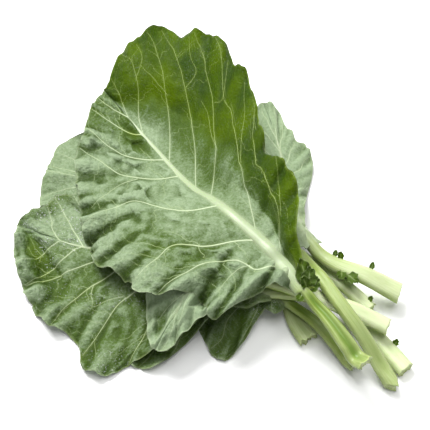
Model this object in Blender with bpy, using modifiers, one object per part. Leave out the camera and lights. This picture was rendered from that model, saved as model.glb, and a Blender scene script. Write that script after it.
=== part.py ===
"""A bunch of collard greens lying on a table: eight leaves, each a blade on its own stem.

Units are metres and +Z is up. Every leaf is drawn in plan: its stem's route from the cut end to the
leaf's tip, and the lengths of the blade's rows on both sides of it. The heights aren't stated: the
leaves are laid down one after another, and each drapes over the pile of those already there.
"""
import math

import bmesh
import bpy
import numpy as np
from mathutils import Vector
from mathutils.bvhtree import BVHTree

# ---- driving dimensions ----
BLADE_BREADTH = 1.0       # all blades' rows, as a multiple of the lengths in LEAVES
STEM_STOUTNESS = 1.0      # all stems' widths and depths, as a multiple of those in LEAVES
BLADE_THICKNESS = 0.0010
RIB_GAP = 0.0003          # between a blade and the rib beneath it
SEAT_GAP = 0.0004         # between a leaf and the pile that it lies on
DRAPE_RADIUS = 0.026      # how far a leaf bridges over what it lies on
FLATTENED = 0.0012        # undersides lower than this are pressed flat by the weight of the bunch
BACK_SWEEP = math.radians(118)   # from the rib's forward direction to the blade's first row
TIP_RIB = 0.0024          # width of a rib where it ends, short of the margin
HELD_SLOPE = 2.5          # how quickly a risen side leaves the pile: within 1 / this share of its rows
RIB_END = 0.94            # share of the blade's rib that the rib reaches

# ---- resolution ----
BLADE_ROWS = 15
BLADE_COLUMNS = 5
STEM_RINGS = 9
SECTION_SIDES = 7         # odd, so that a section has a ridge on top and a flat below
MAP_STEP = 0.004
MAP_HALF = 0.240
TOUCH_STEP = 0.002

COLLECTION = "collard_greens"

# Each leaf, from the bottom of the bunch to the top. In millimetres: route is the stem's and rib's
# way in plan, base is the route point where the blade starts, left and right are the lengths of
# evenly spaced rows from the base on, tip is how far the blade reaches past its rib's last point,
# width and depth are the stem's at its cut end, and neck is its width at the blade. A side with a rise
# is held up by its stiff rib: its margin stands that much higher than the rib. A side with None lies
# on the pile.
LEAVES = (
    dict(name="bottom", route=((81, -112), (71, -96), (65, -80), (59, -66), (48, -30), (38, 12), (29, 60), (26, 92)),
         base=3, left=(9, 30, 44, 50, 52, 52, 42), right=(9, 14, 24, 38, 50, 54, 44), tip=26,
         width=19, depth=11, neck=10, rise=(None, None)),
    dict(name="front", route=((118, -140), (103, -120), (83, -98), (60, -82), (41, -73), (14, -64), (-18, -56),
                              (-46, -46)),
         base=3, left=(9, 30, 64, 58, 46, 36, 30), right=(9, 24, 40, 56, 60, 54, 36), tip=18,
         width=12, depth=10, neck=9, rise=(None, None)),
    dict(name="lower_left", route=((162, -141), (138, -111), (112, -89), (77, -81), (45, -80), (4, -77),
                                   (-39, -84), (-78, -98), (-104, -106)),
         base=4, left=(9, 14, 18, 38, 54, 42, 32), right=(9, 24, 36, 49, 57, 60, 42), tip=18,
         width=16, depth=12, neck=9, rise=(None, None)),
    dict(name="back_left", route=((135, -88), (117, -71), (101, -56), (75, -35), (49, -17), (0, 16), (-60, 39),
                                  (-112, 52), (-144, 60)),
         base=4, left=(9, 46, 74, 83, 86, 76, 50), right=(9, 28, 49, 68, 77, 71, 44), tip=16,
         width=13, depth=11, neck=10, rise=(None, None)),
    dict(name="left", route=((147, -109), (121, -98), (89, -88), (55, -76), (13, -65), (-38, -50), (-94, -32),
                             (-140, -16), (-162, -7)),
         base=4, left=(9, 28, 47, 70, 92, 112, 94, 92, 94, 88, 78, 66, 52, 38),
         right=(9, 46, 61, 66, 67, 63, 48), tip=25,
         width=15, depth=12, neck=10, rise=(None, None)),
    dict(name="right", route=((161, -74), (131, -63), (103, -52), (85, -33), (76, -7), (69, 32), (62, 80),
                              (55, 114)),
         base=3, left=(9, 14, 25, 36, 46, 50, 42), right=(9, 6, 12, 26, 36, 32, 32), tip=24,
         width=19, depth=14, neck=11, rise=(None, None)),
    dict(name="middle", route=((150, -155), (131, -131), (108, -104), (87, -70), (69, -45), (40, -41), (8, -60),
                               (-21, -86), (-38, -112)),
         base=4, left=(9, 28, 36, 36, 34, 38, 36), right=(9, 25, 36, 43, 47, 44, 36), tip=24,
         width=14, depth=12, neck=11, rise=(None, None)),
    dict(name="main", route=((122, -150), (107, -131), (91, -109), (74, -90), (44, -50), (8, -10), (-22, 30),
                             (-54, 78), (-84, 120), (-102, 144)),
         base=3, left=(10, 72, 102, 114, 104, 80, 48), right=(10, 26, 60, 90, 126, 132, 72), tip=16,
         width=16, depth=12, neck=9, rise=(None, 30)),
)

GREENS = {
    "blade": (0.10, 0.22, 0.06, 0.45),
    "stem": (0.50, 0.62, 0.26, 0.40),
}


# ---- curves and profiles ----
def spline(points, count):
    """Points at even spacing along the Catmull-Rom curve through the given ones."""
    knots = np.array(points, float)
    knots = np.vstack([2 * knots[0] - knots[1], knots, 2 * knots[-1] - knots[-2]])
    spans = len(knots) - 3
    fine = np.linspace(0, spans, 40 * spans + 1)
    index = np.minimum(fine.astype(int), spans - 1)
    f = (fine - index)[:, None]
    a, b, c, d = (knots[index + k] for k in range(4))
    curve = 0.5 * (2 * b + (c - a) * f + (2 * a - 5 * b + 4 * c - d) * f**2
                   + (3 * b - a - 3 * c + d) * f**3)
    run = np.r_[0, np.cumsum(np.linalg.norm(np.diff(curve, axis=0), axis=1))]
    even = np.linspace(0, run[-1], count)
    return np.stack([np.interp(even, run, curve[:, k]) for k in range(curve.shape[1])], 1)


def smooth_between(values, t):
    """A smooth value at t, 0 to 1, between evenly spaced values."""
    line = spline([(k, v) for k, v in enumerate(values)], 241)
    return np.interp(np.asarray(t) * (len(values) - 1), line[:, 0], line[:, 1])


def directions(points):
    """Unit forward directions at the points of a plan curve."""
    step = np.gradient(points, axis=0)
    return step / np.linalg.norm(step, axis=1, keepdims=True)


# ---- the pile's height map ----
def map_axes():
    return np.arange(-MAP_HALF, MAP_HALF + MAP_STEP / 2, MAP_STEP)


def pile_top(tree):
    """Height of the pile's top over each cell of the map, 0 on the bare table."""
    axis = map_axes()
    heights = np.zeros((len(axis), len(axis)))
    for i, x in enumerate(axis):
        for j, y in enumerate(axis):
            spot = tree.ray_cast(Vector((x, y, 1)), Vector((0, 0, -1)))[0]
            if spot is not None:
                heights[i, j] = spot.z
    return heights


def slide(field, reach, mix):
    """A field mixed with its own copies, slid up to reach cells each way along both axes."""
    for axis in (0, 1):
        copies = [np.roll(field, k, axis) for k in range(-reach, reach + 1)]
        field = mix(copies, axis=0)
    return field


def drape(needed):
    """A smooth sheet that is nowhere lower than the heights that are needed."""
    reach = round(DRAPE_RADIUS / MAP_STEP / 2)
    return slide(slide(slide(needed, reach * 2, np.max), reach, np.mean), reach, np.mean)


def read_map(field, points):
    """The field's height at plan points, straight between the cells."""
    cell = (points + MAP_HALF) / MAP_STEP
    low = np.clip(cell.astype(int), 0, len(field) - 2)
    f = cell - low
    i, j = low[..., 0], low[..., 1]
    u, v = f[..., 0], f[..., 1]
    return ((1 - u) * (1 - v) * field[i, j] + u * (1 - v) * field[i + 1, j]
            + (1 - u) * v * field[i, j + 1] + u * v * field[i + 1, j + 1])


# ---- one leaf in plan ----
def plan_leaf(leaf):
    """The leaf's curves in plan, in metres, with the stem's widths and depths along them."""
    route = np.array(leaf["route"], float) / 1000
    whole = spline(route, 801)
    start = route[leaf["base"]]
    base = int(np.argmin(np.linalg.norm(whole - start, axis=1)))
    petiole = spline(whole[:base + 1:20], STEM_RINGS)
    petiole[-1] = whole[base]
    rib = spline(whole[base::20], BLADE_ROWS)
    rib[0] = whole[base]
    along = np.linspace(0, 1, BLADE_ROWS)
    neck, cut_width, cut_depth = (leaf[size] / 1000 * STEM_STOUTNESS for size in ("neck", "width", "depth"))
    rib_width = neck * (TIP_RIB / neck) ** along
    down = np.linspace(0, 1, STEM_RINGS) ** 1.3
    width = cut_width * (1 - down) + neck * down
    depth = cut_depth * (1 - down) + neck * down
    rows = {}
    forward = directions(rib)
    across = np.stack([-forward[:, 1], forward[:, 0]], 1)
    turn = BACK_SWEEP * (1 - along)
    for side, sign in (("left", 1), ("right", -1)):
        row_way = np.cos(turn)[:, None] * forward + sign * np.sin(turn)[:, None] * across
        length = smooth_between((*leaf[side], leaf["tip"]), along) / 1000 * BLADE_BREADTH
        share = np.linspace(0, 1, BLADE_COLUMNS + 1)
        rows[side] = rib[:, None, :] + (length[:, None] * share)[..., None] * row_way[:, None, :]
    return dict(petiole=petiole, rib=rib, width=width, depth=depth, rib_width=rib_width, rows=rows)


def rib_room(plan):
    """Room that the leaf's own stem and rib need under it, over the map."""
    axis = map_axes()
    cells = np.stack(np.meshgrid(axis, axis, indexing="ij"), -1)
    spine = np.vstack([plan["petiole"], plan["rib"][1:]])
    room = np.r_[plan["depth"], plan["rib_width"][1:]]
    half = np.r_[plan["width"], plan["rib_width"][1:]] / 2
    fine = np.linspace(0, len(spine) - 1, 240)
    index = np.arange(len(spine))
    needed = np.zeros(cells.shape[:2])
    for k in fine:
        point = np.array([np.interp(k, index, spine[:, 0]), np.interp(k, index, spine[:, 1])])
        near = np.linalg.norm(cells - point, axis=-1) < np.interp(k, index, half) + MAP_STEP / 2
        needed[near] = np.maximum(needed[near], np.interp(k, index, room))
    return needed


# ---- solids ----
def new_object(name, mesh, colour, collection):
    material = bpy.data.materials.new(name)
    material.use_nodes = True
    shader = material.node_tree.nodes["Principled BSDF"]
    shader.inputs["Base Color"].default_value = (*colour[:3], 1)
    shader.inputs["Roughness"].default_value = colour[3]
    shader.inputs["Metallic"].default_value = 0
    mesh.materials.append(material)
    mesh.shade_smooth()
    thing = bpy.data.objects.new(name, mesh)
    collection.objects.link(thing)
    return thing


def blade_mesh(name, grid):
    """The blade's open surface from its rows on both sides, welded along the rib and at the tip."""
    work = bmesh.new()
    for side in ("left", "right"):
        points = grid[side]
        corners = [[work.verts.new(p) for p in row] for row in points]
        for i in range(len(points) - 1):
            for j in range(BLADE_COLUMNS):
                loop = [corners[i][j], corners[i + 1][j], corners[i + 1][j + 1], corners[i][j + 1]]
                work.faces.new(loop if side == "right" else loop[::-1])
    bmesh.ops.remove_doubles(work, verts=work.verts, dist=0.00002)
    bmesh.ops.dissolve_degenerate(work, edges=work.edges, dist=0.00002)
    mesh = bpy.data.meshes.new(name)
    work.to_mesh(mesh)
    work.free()
    return mesh


def stem_mesh(name, line, widths, depths):
    """A stem lofted through sections that hang from its top line."""
    work = bmesh.new()
    forward = directions(line)
    rings = []
    for point, way, width, depth in zip(line, forward, widths, depths):
        across = Vector((-way[1], way[0], 0)).normalized()
        ring = []
        for k in range(SECTION_SIDES):
            angle = math.pi / 2 + 2 * math.pi * k / SECTION_SIDES
            corner = Vector(point) + across * (math.cos(angle) * width / 2)
            corner.z -= (1 - math.sin(angle)) / (1 + math.cos(math.pi / SECTION_SIDES)) * depth
            ring.append(work.verts.new(corner))
        rings.append(ring)
    for one, two in zip(rings[:-1], rings[1:]):
        for k in range(SECTION_SIDES):
            after = (k + 1) % SECTION_SIDES
            work.faces.new((one[k], one[after], two[after], two[k]))
    work.faces.new(rings[0][::-1])
    work.faces.new(rings[-1])
    bmesh.ops.recalc_face_normals(work, faces=work.faces)
    bmesh.ops.triangulate(work, faces=work.faces)
    mesh = bpy.data.meshes.new(name)
    work.to_mesh(mesh)
    work.free()
    return mesh


def lay_leaf(leaf, below, collection):
    """Both pieces of one leaf, draped over the pile of those already laid."""
    plan = plan_leaf(leaf)
    floor = pile_top(below) if below else np.zeros((len(map_axes()),) * 2)
    sheet = drape(floor + rib_room(plan) + SEAT_GAP + RIB_GAP)

    def raised(points, lift):
        return np.concatenate([points, (read_map(sheet, points) + lift)[..., None]], -1)

    share = np.linspace(0, 1, BLADE_COLUMNS + 1)
    along = np.linspace(0, 1, BLADE_ROWS)
    grid = {}
    for side, rise in zip(("left", "right"), leaf["rise"]):
        grid[side] = raised(plan["rows"][side], 0)
        if rise is not None:
            rib_height = grid[side][:, :1, 2]
            held = np.minimum(share * HELD_SLOPE, 1) * (rib_height - grid[side][..., 2])
            grid[side][..., 2] += held + rise / 1000 * np.sin(math.pi * along)[:, None] * share ** 1.5
    blade = new_object(leaf["name"] + "_blade", blade_mesh(leaf["name"], grid), GREENS["blade"], collection)
    shell = blade.modifiers.new("thickness", "SOLIDIFY")
    shell.thickness = BLADE_THICKNESS
    shell.offset = 0

    reach = int(RIB_END * (BLADE_ROWS - 1))
    line = np.vstack([plan["petiole"], plan["rib"][1:reach + 1]])
    top = raised(line, -BLADE_THICKNESS / 2 - RIB_GAP)
    widths = np.r_[plan["width"], plan["rib_width"][1:reach + 1]]
    depths = np.r_[plan["depth"], plan["rib_width"][1:reach + 1]]
    stem = new_object(leaf["name"] + "_stem", stem_mesh(leaf["name"], top, widths, depths),
                      GREENS["stem"], collection)
    return [blade, stem]


def solid_triangles(things):
    """Corners and triangles of the objects' evaluated meshes, as one list each."""
    bpy.context.view_layer.update()
    graph = bpy.context.evaluated_depsgraph_get()
    corners, faces = [], []
    for thing in things:
        mesh = thing.evaluated_get(graph).to_mesh()
        mesh.calc_loop_triangles()
        first = len(corners)
        corners += [thing.matrix_world @ v.co for v in mesh.vertices]
        faces += [[first + k for k in tri.vertices] for tri in mesh.loop_triangles]
    return corners, faces


def seat(things, below):
    """Lifts or lowers the things until they touch the pile, or the table if nothing is laid yet."""
    corners, faces = solid_triangles(things)
    if below:
        own = BVHTree.FromPolygons(corners, faces)
        lower_points, tree = below
        gaps = []
        for points, other, way in ((edge_points(corners, faces), tree, 1), (lower_points, own, -1)):
            for point in points:
                spot = other.ray_cast(point + Vector((0, 0, way)), Vector((0, 0, -way)))[0]
                if spot is not None:
                    gaps.append(way * (spot.z - point.z))
        lift = max(gaps) + SEAT_GAP
    else:
        lift = -min(corner.z for corner in corners)
    for thing in things:
        thing.location.z = lift


def press(blade, stem):
    """Keeps a blade above the table, and presses a stem's underside flat where it lies on it."""
    for vertex in blade.data.vertices:
        vertex.co.z = max(vertex.co.z, BLADE_THICKNESS / 2 - blade.location.z)
    for vertex in stem.data.vertices:
        if vertex.co.z + stem.location.z < FLATTENED:
            vertex.co.z = -stem.location.z


def edge_points(corners, faces):
    """Points at close spacing along all edges of the faces."""
    edges = {tuple(sorted((face[k], face[k - 1]))) for face in faces for k in range(3)}
    points = list(corners)
    for a, b in sorted(edges):
        start, end = corners[a], corners[b]
        parts = math.ceil((end - start).length / TOUCH_STEP)
        points += [start.lerp(end, k / parts) for k in range(1, parts)]
    return points


def main():
    for thing in list(bpy.data.objects):
        bpy.data.objects.remove(thing, do_unlink=True)
    collection = bpy.data.collections.new(COLLECTION)
    bpy.context.scene.collection.children.link(collection)
    laid = []
    tree = None
    lower = None
    for leaf in LEAVES:
        pieces = lay_leaf(leaf, tree, collection)
        seat(pieces, lower)
        press(*pieces)
        laid += pieces
        corners, faces = solid_triangles(laid)
        tree = BVHTree.FromPolygons(corners, faces)
        lower = (edge_points(corners, faces), tree)
    corners, _ = solid_triangles(laid)
    anchor = bpy.data.objects.new("bunch", None)
    collection.objects.link(anchor)
    for thing in laid:
        thing.parent = anchor
    xs = [corner.x for corner in corners]
    ys = [corner.y for corner in corners]
    anchor.location = (-(min(xs) + max(xs)) / 2, -(min(ys) + max(ys)) / 2, -min(c.z for c in corners))


main()
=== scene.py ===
"""The looks of the bunch of collard greens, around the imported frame: every blade with its veins, blisters
and curled margin, every stem with its groove, midrib and cut end."""

import math

import bpy
import numpy as np
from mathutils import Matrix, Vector
from mathutils.bvhtree import BVHTree
from mathutils.kdtree import KDTree


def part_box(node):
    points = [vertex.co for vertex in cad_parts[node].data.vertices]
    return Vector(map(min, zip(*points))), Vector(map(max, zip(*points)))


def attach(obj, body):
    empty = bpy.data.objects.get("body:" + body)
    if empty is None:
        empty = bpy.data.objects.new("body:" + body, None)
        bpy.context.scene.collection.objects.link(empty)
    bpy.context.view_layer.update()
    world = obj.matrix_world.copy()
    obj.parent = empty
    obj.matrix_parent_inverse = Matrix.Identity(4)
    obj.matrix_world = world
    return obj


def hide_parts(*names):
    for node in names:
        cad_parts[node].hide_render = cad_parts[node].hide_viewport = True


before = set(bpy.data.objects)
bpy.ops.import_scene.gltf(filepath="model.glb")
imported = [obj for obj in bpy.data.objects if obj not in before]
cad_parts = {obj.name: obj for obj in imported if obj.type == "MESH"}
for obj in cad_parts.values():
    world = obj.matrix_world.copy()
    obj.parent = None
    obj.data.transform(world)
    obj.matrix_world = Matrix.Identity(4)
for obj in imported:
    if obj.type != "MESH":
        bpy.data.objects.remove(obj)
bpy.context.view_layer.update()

# ---- sizes, in metres unless a name says otherwise ----
BACK_SWEEP = math.radians(118)  # from the rib's forward direction to the blade's first row
CAD_ROWS, CAD_COLUMNS = 15, 5   # the CAD blade's grid, rows along the rib and columns per side
TIP_RIB = 0.0024                # the midrib's breadth at the tip
BLADE_HALF = 0.00030            # half the thickness of a blade
CAD_HALF = 0.00050              # half the thickness of a CAD blade
LAYER_GAP = 0.0009              # least height between a blade's middle and what is above or below it
TABLE_GAP = 0.0006              # least height of a blade's middle over the table
STEM_GAP = 0.0003               # least height of a stem's skin over the table
SPREAD = 0.92                   # below 1 the grid's columns crowd towards the margin
STEEPEST = 1.1                  # slope of a blade where it comes out from under another one
ROLL = 0.012                    # breadth of a rolled margin
RUFFLE_REACH = 0.045            # how far in from the margin the ruffles go
PLEAT_REACH = 0.060             # the same for the pleats
PILLOW_REACH = 0.0060           # how far from a vein a blade has bulged
FULL_HOLLOW_SHADE = 0.0012               # depth below its surroundings at which a hollow's painted shade is darkest
FULL_GROOVE = 0.36              # groove, as a share of the stem's depth, with the channel's full colour
SIDE_VEINS = 8                  # main veins on each side of a leaf whose own aren't given
VEIN_POINTS = 60                # the points of a main vein
VEIN_END = 0.97                 # how far out it goes
LAST_T = 0.995                  # how far along the rib veins go
BRANCHINGS = (0.24, 0.44, 0.62, 0.77, 0.88)  # where small veins leave a main one, as shares of it
MIDRIB_END = 0.97               # how far along the blade its midrib goes
CORD_SIDES = 6                  # the corners of a vein's ring
CORD_PROUD = 0.00004            # least height of a vein over the blade's skin
STEM_STEPS, STEM_SIDES = 90, 44  # a stem's rings up to its blade, and the corners of each ring

# Each leaf in plan, in millimetres, as the CAD has it: the route of its stem and rib, the route point where
# the blade starts, the lengths of its rows on both sides and the stem's sizes. The rest is looks. "Along" and
# "out" are shares of the rib and of the way to the margin, and a side is 1 at the left and -1 at the right.
# bloom, stem_tone, dew, halo: how waxy the blade with its painted sheen, how white the stem, how many
# droplets, how much veins show
# groove: the stem's channel, as a share of its depth; jag, point: how ragged and pointed its cut is, in mm
# vein_size, rib_size: breadths of veins and midrib, times the usual; rib_rise: the midrib's height in metres
# ruffle, pleats, pucker: heights in metres of the margin's waves, its folds and the bulges between veins
# NAME_right: what the right side has of one of these, as a share
# edge: from the rows to the real margin, in millimetres at even spacing from base to tip
# veins: where each main vein is along the rib at 0, 1/4, 1/2, 3/4 and all of the way out
# forks: a side and the (along, out) points of a branch
# swells: (side, along from, to, out from, to, bump in mm); bare: zones that miss bloom and carry
# painted shade, with painted sheen where negative; wet: zones with droplets; soft_painted_shade: the same,
# softer edged
# curls: (along from, to, side, amount) of a rolled margin, up where the amount is positive
LEAVES = {}
LEAVES["bottom"] = dict(
    route=((81, -112), (71, -96), (65, -80), (59, -66), (48, -30), (38, 12), (29, 60), (26, 92)),
    base=3, left=(9, 30, 44, 50, 52, 52, 42), right=(9, 14, 24, 38, 50, 54, 44), tip=26,
    width=19, depth=11, neck=10, bloom=0.4, stem_tone=0.5, groove=0.1, jag=2.5)
LEAVES["front"] = dict(
    route=((118, -140), (103, -120), (83, -98), (60, -82), (41, -73), (14, -64), (-18, -56), (-46, -46)),
    base=3, left=(9, 30, 64, 58, 46, 36, 30), right=(9, 24, 40, 56, 60, 54, 36), tip=18,
    width=12, depth=10, neck=9, bloom=0.5, dew=0.6, vein_size=0.36, stem_tone=0.1, groove=0.16, jag=1.0,
    edge_left=(0, 0, 0, -6, -14, -11, -1, 6, 2, -1, -5, -8, -10, -14, -4) + 14 * (0,))
LEAVES["lower_left"] = dict(
    route=((162, -141), (138, -111), (112, -89), (77, -81), (45, -80), (4, -77), (-39, -84), (-78, -98),
        (-104, -106)),
    base=4, left=(9, 14, 18, 38, 54, 42, 32), right=(9, 24, 36, 49, 57, 60, 42), tip=18,
    width=16, depth=12, neck=9, bloom=0.5, vein_size=0.36, stem_tone=0.85, groove=0.08, jag=0.8,
    edge_left=12 * (0,) + (2, 7, 10, 9, 6, 5, 4, 2) + 9 * (0,))
LEAVES["back_left"] = dict(
    route=((135, -88), (117, -71), (101, -56), (75, -35), (49, -17), (0, 16), (-60, 39), (-112, 52),
        (-144, 60)),
    base=4, left=(9, 46, 74, 83, 86, 76, 50), right=(9, 28, 49, 68, 77, 71, 44), tip=16,
    width=13, depth=11, neck=10, bloom=0.84, stem_tone=0.9, groove=0.12, jag=1.2, pucker=0.0022,
    edge_left=20 * (0,) + (1, 4, 2, 0, -1, -3, -2, -1, 1),
    edge_right=17 * (0,) + (1, 3, 4, 4, 7, 8, 6, 5, 4, 3, 2, 1))
LEAVES["left"] = dict(
    route=((147, -109), (121, -98), (89, -88), (55, -76), (13, -65), (-38, -50), (-94, -32), (-140, -16),
        (-162, -7)),
    base=4, left=(9, 28, 47, 70, 92, 112, 94, 92, 94, 88, 78, 66, 52, 38), right=(9, 46, 61, 66, 67, 63, 48),
    tip=25,
    width=15, depth=12, neck=10, bloom=0.54, stem_tone=1.0, groove=0.06, jag=0.7, vein_size=0.75, halo=0.6,
    pucker=0.004, ruffle=0.007, pleats=0.005, dew=0.35,
    wet=((-1, 0.55, 1.2, -0.2, 1.2, 1.0), (1, 0.66, 1.2, -0.2, 0.62, 1.0)),
    edge_left=9 * (0,) + (4, 2, -1, 0, -1, 6, -1, -4, -5, -9, -6, -8, -8, -4, -3, -3, -2, -1, 0, 2),
    edge_right=14 * (0,) + (1, 3, 5, 7, 9, 12, 8, 4, 0, 2, 0, 1, 2, 2, 2),
    veins_left=((0.1, 0.12, 0.15, 0.17, 0.19), (0.19, 0.23, 0.27, 0.28, 0.29), (0.3, 0.36, 0.4, 0.395, 0.39),
        (0.47, 0.5, 0.525, 0.515, 0.49), (0.57, 0.62, 0.634, 0.64, 0.65), (0.78, 0.735, 0.69, 0.665, 0.65),
        (0.89, 0.84, 0.79, 0.75, 0.72)),
    veins_right=((0.08, 0.1, 0.13, 0.15, 0.17), (0.22, 0.25, 0.28, 0.3, 0.31), (0.36, 0.39, 0.41, 0.43, 0.44),
        (0.49, 0.51, 0.53, 0.54, 0.55), (0.61, 0.62, 0.63, 0.64, 0.64), (0.77, 0.745, 0.725, 0.71, 0.7),
        (0.9, 0.87, 0.83, 0.785, 0.75)),
    forks=((1, (0.52, 0.42), (0.48, 0.56), (0.46, 0.66)), (1, (0.4, 0.4), (0.44, 0.52), (0.46, 0.64))),
    swells=((1, 0.58, 0.92, 0.55, 0.76, -8.0), (1, 0.5, 0.95, 0.78, 1.1, 7.0),
        (1, 0.62, 0.95, 0.1, 0.52, 4.0), (1, 0.28, 0.42, 0.55, 1.1, -3.5), (1, 0.4, 0.52, 0.6, 1.1, 2.5),
        (1, 0.14, 0.28, 0.5, 1.1, 3.0), (-1, 0.62, 0.9, 0.35, 0.9, -2.0)),
    bare=((1, 0.56, 0.92, 0.6, 0.78, 0.75), (1, 0.5, 1.1, 0.84, 1.5, -0.3),
        (-1, 0.45, 1.1, -0.2, 0.85, -0.34), (1, 0.78, 1.1, -0.2, 0.5, -0.34)))
LEAVES["right"] = dict(
    route=((161, -74), (131, -63), (103, -52), (85, -33), (76, -7), (69, 32), (62, 80), (55, 114)),
    base=3, left=(9, 14, 25, 36, 46, 50, 42), right=(9, 6, 12, 26, 36, 32, 32), tip=24,
    width=19, depth=14, neck=11, bloom=0.95, stem_tone=0.8, groove=0.05, jag=0.5, ruffle=0.006,
    edge_left=24 * (0,) + (1, 3, 5, 4, 5),
    edge_right=(0, 0, 0, -5, -3, -2, -1, 0, -2, -3, -5, -4, -3, -2, 0, 1, 2, 2, 4, -1, -1, 2, -2, 1, 6, 5, 9,
        6, 5))
LEAVES["middle"] = dict(
    route=((150, -155), (131, -131), (108, -104), (87, -70), (69, -45), (40, -41), (8, -60), (-21, -86),
        (-38, -112)),
    base=4, left=(9, 28, 36, 36, 34, 38, 36), right=(9, 25, 36, 43, 47, 44, 36), tip=24,
    width=14, depth=12, neck=11, bloom=0.95, vein_size=0.34, halo=0.2, stem_tone=0.34, groove=0.1, jag=0.5,
    point=9, ruffle=0.006, pucker=0.0012,
    edge_left=19 * (0,) + (-2, 1, 1, 4, 4, 3, 2, 1, 1, -1), edge_right=24 * (0,) + (2, 2, 3, 2, -1),
    swells=((-1, 0.74, 0.92, 0.4, 0.8, -7.0), (1, 0.72, 1.0, 0.2, 0.7, 3.0)),
    bare=((-1, 0.78, 0.92, 0.45, 0.8, 0.6),))
LEAVES["main"] = dict(
    route=((122, -150), (107, -131), (91, -109), (74, -90), (44, -50), (8, -10), (-22, 30), (-54, 78),
        (-84, 120), (-102, 144)),
    base=3, left=(10, 72, 102, 114, 104, 80, 48), right=(10, 26, 60, 90, 126, 132, 72), tip=16,
    width=16, depth=12, neck=9, bloom=0.84, stem_tone=0.24, groove=0.34, jag=1.3, rib_size=1.8,
    rib_rise=0.0028, vein_size=0.9, vein_right=0.42, halo=0.45, dew=0.08, ruffle=0.009, ruffle_right=0.45,
    pucker=0.0066, pucker_right=0.24, pleats=0.0085,
    edge_left=(0, -17, -21, -31, 7, -9, -18, -12, 7, 0, 2, 7, 1, 1, -3, -1, -1, 4, 6, 3, 4, 6, 8, 9, 8, 9, 6,
        6, 5),
    edge_right=(0, -9, -6, -4, -6, -3, 2, 0, -5, -5, -12, -9, -6, 1, 6, 4, 13, 14, 9, 3, 7, 11, 10, 10, 6, 2,
        0, -1, 4),
    veins_left=((0.08, 0.14, 0.24, 0.265, 0.27), (0.2, 0.265, 0.325, 0.32, 0.31),
        (0.38, 0.41, 0.48, 0.475, 0.46), (0.6, 0.575, 0.59, 0.63, 0.66), (0.69, 0.67, 0.675, 0.7, 0.73),
        (0.83, 0.8, 0.8, 0.81, 0.82), (0.92, 0.9, 0.89, 0.89, 0.89)),
    veins_right=((0.08, 0.13, 0.2, 0.36, 0.45), (0.22, 0.285, 0.375, 0.53, 0.6),
        (0.43, 0.475, 0.53, 0.6, 0.65), (0.51, 0.575, 0.635, 0.675, 0.72), (0.67, 0.685, 0.706, 0.725, 0.75),
        (0.83, 0.825, 0.8, 0.8, 0.825), (0.92, 0.91, 0.9, 0.9, 0.9)),
    forks=((1, (0.578, 0.42), (0.56, 0.6), (0.525, 0.74), (0.5, 0.9)),
        (1, (0.17, 0.3), (0.188, 0.45), (0.19, 0.62), (0.185, 0.8)),
        (-1, (0.206, 0.52), (0.24, 0.64), (0.27, 0.78), (0.32, 0.95)),
        (-1, (0.4, 0.55), (0.44, 0.68), (0.46, 0.8), (0.5, 0.93)),
        (-1, (0.56, 0.62), (0.54, 0.72), (0.55, 0.84), (0.56, 0.94)),
        (-1, (0.65, 0.58), (0.63, 0.7), (0.65, 0.8), (0.66, 0.95)),
        (-1, (0.7, 0.48), (0.75, 0.58), (0.78, 0.7)), (-1, (0.5, 0.38), (0.55, 0.48), (0.6, 0.56)),
        (-1, (0.8, 0.6), (0.77, 0.74), (0.78, 0.92))),
    swells=((-1, 0.62, 1.0, 0.48, 0.86, 4.5), (-1, 0.45, 0.85, 0.14, 0.5, -2.0),
        (-1, 0.06, 0.38, 0.45, 1.2, 12.0), (-1, 0.02, 0.12, 0.4, 1.2, -3.0), (1, 0.04, 0.15, 0.3, 1.1, 8.0),
        (1, 0.16, 0.23, 0.4, 1.1, -8.0), (1, 0.24, 0.34, 0.5, 1.1, 8.0), (1, 0.35, 0.41, 0.5, 1.1, -6.0),
        (1, 0.44, 0.54, 0.45, 0.95, 6.0), (1, 0.56, 0.62, 0.5, 1.1, -4.0), (1, 0.7, 0.8, 0.15, 0.55, -3.0)),
    # zones of bare tissue and of painted shade, with painted sheen where the amount is negative, then a
    # softer painted shade
    bare=((-1, 0.54, 0.92, 0.62, 1.6, 0.35), (-1, 0.58, 0.72, 0.95, 1.6, -0.8),
        (1, 0.7, 1.1, 0.05, 1.4, 0.32), (-1, 0.24, 0.68, 0.52, 1.6, 0.65), (-1, -0.1, 0.38, 0.42, 1.6, 0.95),
        (1, 0.66, 0.85, 0.05, 0.45, 0.45), (-1, 0.25, 0.75, -0.2, 0.35, 0.2),
        (1, 0.22, 0.44, 0.35, 0.8, 0.25), (1, 0.05, 0.6, 0.5, 1.4, 0.1), (1, 0.1, 0.42, -0.2, 0.45, 0.16)),
    soft_painted_shade=((-1, 0.4, 1.1, 0.32, 2.0, 1.15),),
    curls=((0.02, 0.1, "left", -1.6), (0.3, 0.42, "right", -1.2), (0.12, 0.8, "left", -0.7)))

# What a leaf has where its own entry doesn't say.
PLAIN = dict(
    vein_size=0.48, vein_right=1.0, halo=0.35, rib_size=1.1, rib_rise=0.0020, point=0, ruffle=0.0045,
    ruffle_right=1, pucker=0.0019, pucker_right=1, pleats=0.0025, dew=0.1, edge_left=(0, 0),
    edge_right=(0, 0), veins_left=None, veins_right=None, forks=(), swells=(), bare=(), soft_painted_shade=(), wet=(),
    curls=())
TOP_DOWN = ("main", "middle", "right", "left", "back_left", "lower_left", "front", "bottom")
FINE = dict(main=(236, 100), left=(180, 80))  # a blade's grid, rows along the rib and columns per side
COARSE = (132, 58)              # the same for the other blades
LAYER = dict(main=4, middle=3, right=2, left=2)  # how many layers at least a blade stays off the table

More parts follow.
